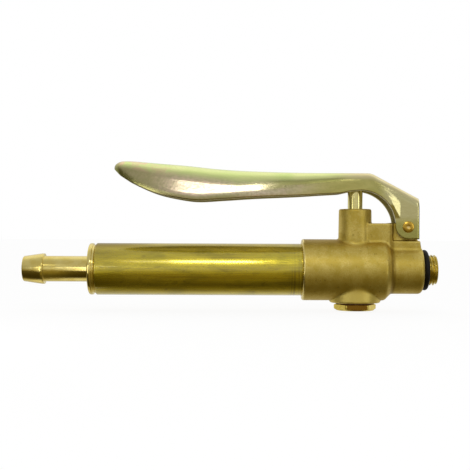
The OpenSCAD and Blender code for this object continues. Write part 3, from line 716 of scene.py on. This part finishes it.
def smooth(s, table):
    """Value at s of the smooth curve through a table of (s, value), level at its two ends."""
    at, value = np.array(table, float).T
    rate = np.zeros(len(at))
    rate[1:-1] = (value[2:] - value[:-2]) / (at[2:] - at[:-2])
    i = int(np.clip(np.searchsorted(at, s, "right") - 1, 0, len(at) - 2))
    h = at[i + 1] - at[i]
    u = (s - at[i]) / h
    return (value[i] * (1 + 2 * u) * (1 - u) ** 2 + value[i + 1] * u * u * (3 - 2 * u)
            + h * u * (1 - u) * (rate[i] * (1 - u) - rate[i + 1] * u))


HEEL_DEPTH = 7.6                 # of the sides at the heel
RIM_Z = HEEL_Z - HEEL_DEPTH
SWEEP_X = STEM_X + 1.3           # where the rim starts to sweep down to the ears
SWEEP_R = PIVOT_X - EAR_R - SWEEP_X
SWEEP_H = RIM_Z - PIVOT_Z
HEEL_X = SWEEP_X - 3
LEVER_FRONT_X = PIVOT_X + 4.8
SLOPE_X = STEM_X + 6.3           # the crease where the back starts to slope down
SLOPE = 0.53
SHOULDER_R = 4.2
CROWN_R = 10.6
SIDE_LEAN = 17
BLADE_HALF = lever_high[1]
# Along the blade, from 0 at the heel to 1 at the tip: the back above the heel, the rim above the heel's
# rim, the half width, the radius of the back's edges and the lean of the sides
BLADE_TOP = [(0, 0), (0.22, 0.1), (0.41, 0.6), (0.56, 1.55), (0.69, 2.95), (0.82, 4), (0.93, 4.85), (1, 4.7)]
BLADE_RIM = [(0, -0.3), (0.05, -1.2), (0.11, -1.6), (0.23, -2.35), (0.4, -3.1), (0.55, -4.1), (0.65, -4.6),
             (0.73, -3.6), (0.82, -1.5), (0.91, 2.3), (0.97, 6.0), (1, 7.6)]
BLADE_WIDTH = [(0, HEEL_HALF), (0.16, 0.78 * HEEL_HALF + 0.22 * BLADE_HALF),
               (0.38, 0.12 * HEEL_HALF + 0.88 * BLADE_HALF), (0.55, 0.99 * BLADE_HALF), (0.64, BLADE_HALF),
               (0.7, 0.985 * BLADE_HALF), (0.76, 0.94 * BLADE_HALF), (0.84, 0.82 * BLADE_HALF),
               (0.91, 0.66 * BLADE_HALF), (0.96, 0.5 * BLADE_HALF), (1, 0.36 * BLADE_HALF)]
NOSE = 0.96                      # from here to the tip the blade closes to a round nose
NOSE_Z = HEEL_Z + 1.95
BLADE_ROUND = [(0, SHOULDER_R), (0.22, 6.5), (0.38, 8.04), (0.55, CROWN_R), (0.8, CROWN_R), (1, CROWN_R)]
BLADE_LEAN = [(0, 0), (0.22, 0.45 * SIDE_LEAN), (0.38, 0.95 * SIDE_LEAN), (0.5, SIDE_LEAN),
              (0.84, 0.97 * SIDE_LEAN), (0.92, 0.75 * SIDE_LEAN), (1, 0.4 * SIDE_LEAN)]


def blade_stations():
    """Sections of the blade from its tip to its heel, closer together towards the tip."""
    steps, crowding, closed = 110, 1.3, 0.995
    stations = []
    for i in range(steps, -1, -1):
        s = 1 - (1 - i / steps) ** crowding
        close = math.sqrt(1 - max(0, closed * (s - NOSE) / (1 - NOSE)) ** 2)
        top, rim = (NOSE_Z + (z - NOSE_Z) * close
                    for z in (HEEL_Z + smooth(s, BLADE_TOP), RIM_Z + smooth(s, BLADE_RIM)))
        stations.append((HEEL_X + s * (TIP_X - HEEL_X), close * smooth(s, BLADE_WIDTH), top, rim,
                         smooth(s, BLADE_ROUND), math.radians(smooth(s, BLADE_LEAN))))
    return stations


def lever_stations():
    """Sections of the lever from its tip to its front edge: x, half width, top, rim, back radius, lean."""
    stations = blade_stations()
    for i in range(41):
        a = math.radians(90 * i / 40)
        stations.append((SWEEP_X + SWEEP_R * math.sin(a), PIVOT_Z + SWEEP_H * math.cos(a)))
    for i in range(1, 17):
        a = math.radians(90 * i / 16)
        stations.append((PIVOT_X - EAR_R * math.cos(a), PIVOT_Z - EAR_R * math.sin(a)))
    stations += [(PIVOT_X + (LEVER_FRONT_X - PIVOT_X) * u, PIVOT_Z - EAR_R)
                 for u in (0.3, 0.6, 0.8, 0.9, 0.96, 1)]
    full = []
    for station in stations:
        if len(station) == 2:
            x, rim = station
            station = (x, HEEL_HALF, HEEL_Z - slope_drop(x), rim, SHOULDER_R, 0.0)
        full.append(station)
    return full


def slope_drop(x):
    """How far the back has come down at x, with the crease at the top of the slope rounded."""
    bend = 1.6
    past = x - SLOPE_X
    return SLOPE * (past if past > bend else 0 if past < -bend else (past + bend) ** 2 / (4 * bend))


def eased(u):
    """0 to 1 as u goes from 0 to 1, level at both ends."""
    u = np.clip(u, 0, 1)
    return u * u * (3 - 2 * u)


def half_width_share(x, z):
    """1 where the sides stand out over the push rod, 0 where they have drawn in to the ears. Under the back
    they draw in slowly; lower down they step in, in a wedge that widens upwards from a point by the pivot."""
    slow = eased((x + 35) / 21)
    foot_z, edge_x = 22.2, -16.1
    wedge = 0.3 + 0.55 * np.maximum(z - foot_z, 0)
    depth = np.minimum(0.3 * wedge, 1)
    across = np.clip((x - edge_x) / wedge + 1, 0, 1)
    stepped = 1 - depth * (1 - across)
    under_back = eased((HEEL_Z - slope_drop(x) - z - 3.2) / 3.6)
    return 1 - 0.7 * (stepped * under_back + slow * (1 - under_back)) - 0.3 * slow


def lever_skin(half, top, rim, radius, lean, edge):
    """One side of the sheet as (y, z) points from the near rim over the back to the far rim. The sides turn
    upright and a little under towards the rim. Its corner is rounded inwards, or outwards if edge is
    below 0."""
    foot_z = top - radius * (1 - math.sin(lean))
    leaning = min(3.7, foot_z - rim)
    widest = 0.3 * leaning
    bend = leaning - widest
    rise = np.linspace(abs(edge), foot_z - rim, 40)
    bent, straight = (rise - widest) ** 2 / (2 * bend), rise - widest - bend / 2
    lean_in = np.where(rise < leaning, bent, straight) * math.tan(lean)
    foot_y = -half + lean_in[-1]
    wall = np.stack([-half + lean_in, rim + rise], 1)
    turn = np.radians(np.linspace(270, 180, 5)[:-1])
    corner = np.stack([wall[0, 0] + edge + edge * np.cos(turn), rim + abs(edge) * (1 + np.sin(turn))], 1)
    turn = np.radians(np.linspace(180 - math.degrees(lean), 90, 13))[1:]
    arc_y = foot_y + radius * math.cos(lean) + radius * np.cos(turn)
    arc = np.stack([arc_y, top - radius + radius * np.sin(turn)], 1)
    middle = np.stack([np.linspace(arc[-1, 0], 0, 6)[1:], np.full(5, top)], 1)
    side = np.vstack([corner, wall, arc, middle])
    return np.vstack([side, (side * (-1, 1))[-2::-1]])


def lever_rings():
    """The lever's sections, each a loop that goes out over its sheet and back under it."""
    front_bend = 1.2             # where the front edge turns in
    rings = []
    for x, half, top, rim, radius, lean in lever_stations():
        depth = top - rim
        sheet = min(SHEET, 0.45 * half, 0.4 * depth)
        radius = min(radius, 0.82 * half, 0.6 * depth / (1 - math.sin(lean)))
        edge = 0.32 * sheet
        outer = lever_skin(half, top, rim, radius, lean, edge)
        inner = lever_skin(half - sheet, top - sheet, rim, max(radius - sheet, 0.1), lean, -edge)
        share = half_width_share(x, outer[:, 1]) if x > HEEL_X else np.ones(len(outer))
        front = max(0, x - LEVER_FRONT_X + front_bend) / front_bend
        wide = EAR_HALF + (HEEL_HALF - EAR_HALF) * share - 0.5 * front ** 2.5
        if x > HEEL_X:
            outer[:, 0] *= wide / HEEL_HALF
            share = half_width_share(x, inner[:, 1])
            wide = EAR_HALF + (HEEL_HALF - EAR_HALF) * share - SHEET
            inner[:, 0] *= wide / (HEEL_HALF - SHEET)
        loop = np.vstack([outer, inner[::-1]])
        rings.append(np.column_stack([np.full(len(loop), x), loop]))
    return np.array(rings)


def make_lever(finish):
    """Pressed lever: one sheet from its tip to the front of its ears, closed by a strip at each end."""
    rings = lever_rings()
    points, faces = joined(rings, closed=False)
    around = rings.shape[1]
    last = len(points) - around
    for i in range(around // 2 - 1):
        faces.append([i + 1, i, around - 1 - i, around - 2 - i])
        faces.append([last + i, last + i + 1, last + around - 2 - i, last + around - 1 - i])
    return add_piece("pressed_lever", points, faces, finish, "squeeze_lever", "yellow_zinc_steel", "lever",
                     crease=42)


# ---------------------------------------------------------------- turned pieces


def make_tube(finish):
    outline = rounded([(TUBE_X, TUBE_BORE_R, 0.2), (TUBE_X, TUBE_R - TUBE_BEVEL, 0.2),
                       (TUBE_X + TUBE_BEVEL, TUBE_R, 0.5), (BODY_X, TUBE_R, 0.1), (BODY_X, TUBE_TURNED_R),
                       (SOCKET_X, TUBE_TURNED_R, 0.2), (SOCKET_X, TUBE_BORE_R, 0.2)])
    return turned_piece("grip_tube", outline, "x", finish, "housing", "drawn_brass", "handle_tube")


def make_tail(finish):
    shank_r, barb_r, bore_r, flange_r = 5.5, 6.55, 3.9, TUBE_R - 0.05
    collar_r, spigot_r, ring_r = TUBE_R - 0.7, TUBE_BORE_R - FIT, TUBE_BORE_R - 2 * FIT - 1.7
    flange_x = TUBE_X - 2.6
    barb_x = flange_x - 19.3
    land_x, tip_x, end_x, groove_x = barb_x - 1.2, tail_low[0], tail_high[0], TUBE_X + 6
    outline = rounded([
        (tip_x, bore_r, 0.3), (tip_x, shank_r - 0.1, 0.5), (land_x, barb_r, 0.5), (barb_x, barb_r, 0.15),
        (barb_x, shank_r, 0.15), (flange_x, shank_r, 0.4), (flange_x, flange_r, 0.7),
        (flange_x + 1.8, flange_r, 0.35), (flange_x + 1.8, collar_r, 0.1), (TUBE_X, collar_r),
        (TUBE_X, spigot_r), (groove_x, spigot_r), (groove_x, ring_r), (groove_x + 2.4, ring_r),
        (groove_x + 2.4, spigot_r), (end_x, spigot_r, 0.3), (end_x, bore_r, 0.3)])
    return turned_piece("barbed_tail", outline, "x", finish, "housing", "polished_brass", "hose_tail")


def make_rod(finish):
    dome_r = ROD_R * 1.9
    dome = [(rod_high[2] - dome_r * (1 - math.cos(a)), dome_r * math.sin(a))
            for a in np.linspace(math.asin((ROD_R - 0.25) / dome_r), 0, 8)]
    disc_z, waist_z, stud_r, waist_r = -2.55, 8.1, 1.5, 2.4
    corners = [(rod_low[2], 0), (rod_low[2], stud_r, 0.2), (disc_z, stud_r), (disc_z, waist_r),
               (waist_z, waist_r), (waist_z + 0.6, ROD_R, 0.2), (dome[0][0] - 0.25, ROD_R, 0.15)] + dome
    return turned_piece("bright_rod", rounded(corners), "z", finish, "valve_stem", "polished_brass",
                        "push_rod", centre=(STEM_X, 0, 0), solid=True)


def make_pin(finish):
    head_r, end_y = pin_high[0] - PIVOT_X, pin_high[1]
    head_y = end_y - 0.4
    half = [(end_y - 0.35, 0), (end_y - 0.08, 0.75), (end_y, 1.15, 0.2), (end_y - 0.1, 1.8, 0.3),
            (end_y - 0.28, head_r - 0.12, 0.1), (head_y, head_r), (head_y, PIN_R)]
    outline = rounded([(-q[0], *q[1:]) for q in half] + half[::-1])
    return turned_piece("riveted_pin", outline, "y", finish, "squeeze_lever", "coppered_pin", "pivot_pin",
                        centre=(PIVOT_X, 0, PIVOT_Z), solid=True)


def make_nipple(finish):
    thread_x, mouth_x, bore_r = FACE_X + 2.6, nipple_high[0], 4.0
    depth = 0.64 * THREAD_PITCH
    fine = [(x, THREAD_R) for x in np.arange(thread_x, mouth_x - 0.02, 0.06)]
    outline = np.array([(NIPPLE_X, bore_r), (NIPPLE_X, NECK_R - 0.3), (NIPPLE_X + 0.3, NECK_R)]
                       + [(thread_x - 0.3, NECK_R)] + fine
                       + [(mouth_x, THREAD_R - 0.6), (mouth_x, bore_r + 0.5), (mouth_x - 0.5, bore_r)])

    def thread(along, radius, angle):
        turn = np.mod((along - thread_x) / THREAD_PITCH - angle / (2 * math.pi), 1)
        groove = np.clip(1.35 - 2.9 * np.abs(turn - 0.5), 0, 1)
        starts = np.clip((along - thread_x) / 0.5, 0, 1)
        bevel = np.clip((along - mouth_x + 0.75) / 0.75, 0, 1) * 0.7
        threaded = (radius > THREAD_R - 0.01) & (along >= thread_x)
        cut_r = np.minimum(radius - depth * groove * starts, THREAD_R - bevel)
        return np.where(threaded, cut_r, radius)

    return turned_piece("threaded_nipple", outline, "x", finish, "housing", "turned_brass", "outlet_nipple",
                        radius=thread)


def make_plug(finish):
    """Bonnet plug: a hexagon turned to a chamfer below, and a threaded skirt inside the body."""
    hex_low, hex_high = plug_low[2], gasket_low[2]
    flat_r = PLUG_R + 0.5
    skirt_r, floor_z, chamfer = 5.95, hex_low + 1.4, 0.75
    outline = rounded([(hex_low, 0.0), (hex_low, 0.62 * flat_r), (hex_low, flat_r - 0.1, 0.2),
                       (hex_low + chamfer, flat_r + 1.05, 0.3), (hex_high - 0.35, flat_r + 1.05, 0.3),
                       (hex_high, flat_r - 0.2), (hex_high, PLUG_R), (plug_high[2], PLUG_R, 0.3),
                       (plug_high[2], skirt_r, 0.2), (floor_z, skirt_r, 0.4), (floor_z, 0.0)])

    def hexagon(along, radius, angle):
        sides = [np.maximum(np.cos(angle - math.radians(30 + 60 * k)), 0) for k in range(6)]
        across = sum(side ** 50 for side in sides) ** (1 / 50)
        return np.where(along < hex_high + 0.01, np.minimum(radius, flat_r / across), radius)

    return turned_piece("hexagon_plug", outline, "z", finish, "housing", "turned_brass", "bonnet_plug",
                        centre=(STEM_X, 0, 0), solid=True, radius=hexagon)


def make_seals(rubber, fibre):
    section = (seal_high[0] - seal_low[0]) / 2
    middle = (seal_high[0] + seal_low[0]) / 2
    around = np.linspace(0, 2 * math.pi, 32, endpoint=False)
    out = seal_high[1] - section + section * np.sin(around)
    outline = np.stack([middle + section * np.cos(around), out], 1)
    turned_piece("outlet_seal", outline, "x", rubber, "housing", "black_rubber", "outlet_o_ring")
    low, high, out = gasket_low[2], gasket_high[2], gasket_high[1]
    outline = rounded([(low, PLUG_R + FIT), (low, out, 0.15), (high, out, 0.15), (high, PLUG_R + FIT)])
    turned_piece("pressed_gasket", outline, "z", fibre, "housing", "fibre", "plug_gasket",
                 centre=(STEM_X, 0, 0))


def make_spring(finish):
    """Valve spring between the bonnet plug and the disc cup."""
    wire_r, turns, per_turn = 0.45, 4.5, 48
    low, high, coil_r = spring_low[2] + wire_r, spring_high[2] - wire_r, spring_high[1] - wire_r
    count = int(turns * per_turn)
    angle = np.linspace(0, 2 * math.pi * turns, count + 1)[:, None]
    around = np.linspace(0, 2 * math.pi, 16, endpoint=False)[None, :]
    out, height = coil_r + wire_r * np.cos(around), np.linspace(low, high, count + 1)[:, None]
    up = height + wire_r * np.sin(around)
    rings = np.stack([STEM_X + out * np.cos(angle), out * np.sin(angle), up], -1)
    points, faces = joined(rings, closed=False)
    last = len(points) - around.size
    faces += [list(range(around.size)), list(range(last, len(points)))]
    spring = add_piece("coil_spring", points, faces, finish, "housing", "spring_steel", "valve_spring")
    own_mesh(spring)


# ---------------------------------------------------------------- studio

# The studio that the metal reflects, as (angle, brightness, warmth). The angle is 0 at the camera, 90 overhead
# and 180 behind the nozzle; the other way it is -90 underneath and -180 behind.
STUDIO = [(-180, 0.72, 0), (-150, 0.62, 0), (-122, 0.45, 0.2), (-105, 0.21, 0.7), (-92, 0.10, 1),
          (-76, 0.075, 1), (-60, 0.08, 1), (-45, 0.13, 1), (-31, 0.18, 1), (-18, 0.20, 0.9), (-9, 0.28, 0.6),
          (-3, 0.44, 0.3), (3, 0.58, 0), (12, 0.58, 0), (25, 0.50, 0), (50, 0.48, 0), (75, 0.50, 0),
          (92, 0.60, 0), (108, 0.84, 0), (125, 0.90, 0), (150, 0.84, 0), (170, 0.66, 0), (180, 0.62, 0)]


def light_studio():
    """The studio that lights the metal, dim at its two ends and darkest low down on the tail's side. The
    camera itself sees white."""
    world = bpy.data.worlds.new("studio")
    bpy.context.scene.world = world
    t = Tree(world)
    x, y, z = t.node("ShaderNodeTexCoord", {}, {}, "Generated").split()
    height = z.math("ARCTAN2", z, 0 - y) * (0.5 / math.pi) + 0.5
    stops = [((angle + 180) / 360, (level * (1 + 0.26 * warm), level, level * (1 - 0.75 * warm), 1))
             for angle, level, warm in STUDIO]
    round_it = t.node("ShaderNodeValToRGB", {"stops": stops}, {"Fac": height})
    ends = abs(x).rises(0.42, 0.80) * y.rises(0.5, 0.0) * z.rises(0.6, 0.2)
    colour = t.blend(ends, round_it, (0.15, 0.14, 0.09, 1))
    below_tail = z.rises(-0.15, -0.35) * x.rises(-0.15, -0.18) * y.rises(0.25, -0.1) * 0.75
    colour = t.blend(below_tail, colour, (0.02, 0.012, 0.0, 1))
    seen = t.node("ShaderNodeBackground", {}, {"Color": (1, 1, 1, 1), "Strength": 1.0})
    lit = t.node("ShaderNodeBackground", {}, {"Color": colour, "Strength": 1.0})
    camera_ray = t.node("ShaderNodeLightPath", {}, {}, "Is Camera Ray")
    both = t.node("ShaderNodeMixShader", {}, {0: camera_ray, 1: lit, 2: seen})
    t.node("ShaderNodeOutputWorld", {}, {"Surface": both})


def add_lamp(name, middle, wide, tall, level, turn=0, lift=0, distance=480):
    """A flat lamp facing the nozzle: its angle round from the camera and up, its size and its brightness."""
    data = bpy.data.lights.new(name, "AREA")
    data.shape, data.size, data.size_y = "RECTANGLE", wide * MM, tall * MM
    data.energy = level * math.pi * wide * tall * MM * MM
    lamp = bpy.data.objects.new(name, data)
    turn, lift = math.radians(turn), math.radians(lift)
    away = np.array([math.sin(turn) * math.cos(lift), -math.cos(turn) * math.cos(lift), math.sin(lift)])
    lamp.location = [(m + distance * a) * MM for m, a in zip(middle, away)]
    lamp.rotation_euler = (math.radians(90) - lift, 0, turn)
    lamp.visible_camera = False
    bpy.context.scene.collection.objects.link(lamp)


def add_lamps():
    """Soft boxes over the camera and to both sides, and two strips for the hose tail."""
    add_lamp("key_box", (-100, 0, 0), 76, 74, 6.0, lift=35)
    add_lamp("key_left", (-170, 0, 0), 64, 56, 1.4, lift=35)
    add_lamp("key_right", (-42, 0, 0), 40, 66, 8.5, lift=35)
    add_lamp("tail_strip", (-330, 0, 0), 210, 14, 2.6, lift=12)
    add_lamp("tail_under", (-305, 0, 0), 140, 320, 0.42, lift=-106)
    add_lamp("left_box", (-30, 0, 0), 50, 90, 1.9, turn=-52, distance=230)
    add_lamp("right_box", (-30, 0, 10), 130, 380, 1.45, turn=50, lift=10)


def add_floor():
    """Plain pale floor just under the bonnet plug, white to the camera but for the nozzle's soft shadow."""
    size, z = 6000, plug_low[2] - 0.4
    mesh = bpy.data.meshes.new("floor")
    corners = ((-size, -size), (size, -size), (size, size), (-size, size))
    mesh.from_pydata([(x * MM, y * MM, z * MM) for x, y in corners], [], [(0, 1, 2, 3)])
    floor = bpy.data.objects.new("floor", mesh)
    bpy.context.scene.collection.objects.link(floor)
    t = new_finish("floor_paper")
    plain = t.node("ShaderNodeBsdfDiffuse", {}, {"Color": (0.80, 0.80, 0.79, 1)})
    glow = t.node("ShaderNodeEmission", {}, {"Color": (1, 1, 1, 1), "Strength": 1.06})
    both = t.node("ShaderNodeMixShader", {}, {0: 0.86, 1: plain, 2: glow})
    t.node("ShaderNodeOutputMaterial", {}, {"Surface": both})
    mesh.materials.append(t.owner)
    floor.visible_glossy = False
    floor.visible_diffuse = False
    floor.visible_shadow = False


# ---------------------------------------------------------------- put together

add_camera()
light_studio()
add_lamps()
add_floor()

cast, drawn = cast_brass(), drawn_brass()
polished = polished_brass("polished_brass", (0.92, 0.76, 0.27, 1), (0.84, 0.66, 0.18, 1), (1, 0.03, 0.03))
ground = polished_brass("ground_rod", (0.92, 0.82, 0.36, 1), (0.86, 0.75, 0.28, 1), (0.03, 0.03, 1))
machined = turned_brass("turned_brass", (0.95, 0.78, 0.26, 1), (0.86, 0.64, 0.14, 1))
threaded = turned_brass("threaded_brass", (0.76, 0.62, 0.17, 1), (0.58, 0.45, 0.09, 1))
hexagonal = turned_brass("hexagon_brass", (0.95, 0.76, 0.17, 1), (0.86, 0.64, 0.11, 1), darkened=0.9)
zinc, copper, rubber, fibre = yellow_zinc(), coppered_steel(), black_rubber(), red_fibre()
gauze = bright_steel("stainless_gauze", (0.62, 0.62, 0.60, 1))
spring = bright_steel("spring_steel", (0.50, 0.49, 0.47, 1))

make_body(cast)
make_tube(drawn)
make_tail(polished)
make_rod(ground)
make_pin(copper)
make_nipple(threaded)
make_plug(hexagonal)
make_seals(rubber, fibre)
make_spring(spring)
make_lever(zinc)

# The pieces inside keep the frame's own meshes, in these finishes
INSIDE = {"tail_o_ring": rubber, "gland_o_ring_upper": rubber, "gland_o_ring_lower": rubber,
          "valve_disc": rubber, "tube_gasket": fibre, "strainer_gauze": gauze,
          "strainer_collar": machined, "strainer_end": machined, "gland_spacer": machined,
          "gland_bush": machined, "seat_ring": machined, "disc_cup": machined, "disc_nut": machined}
for node, finish in INSIDE.items():
    frame["nodes"][node].data.materials.clear()
    frame["nodes"][node].data.materials.append(finish)
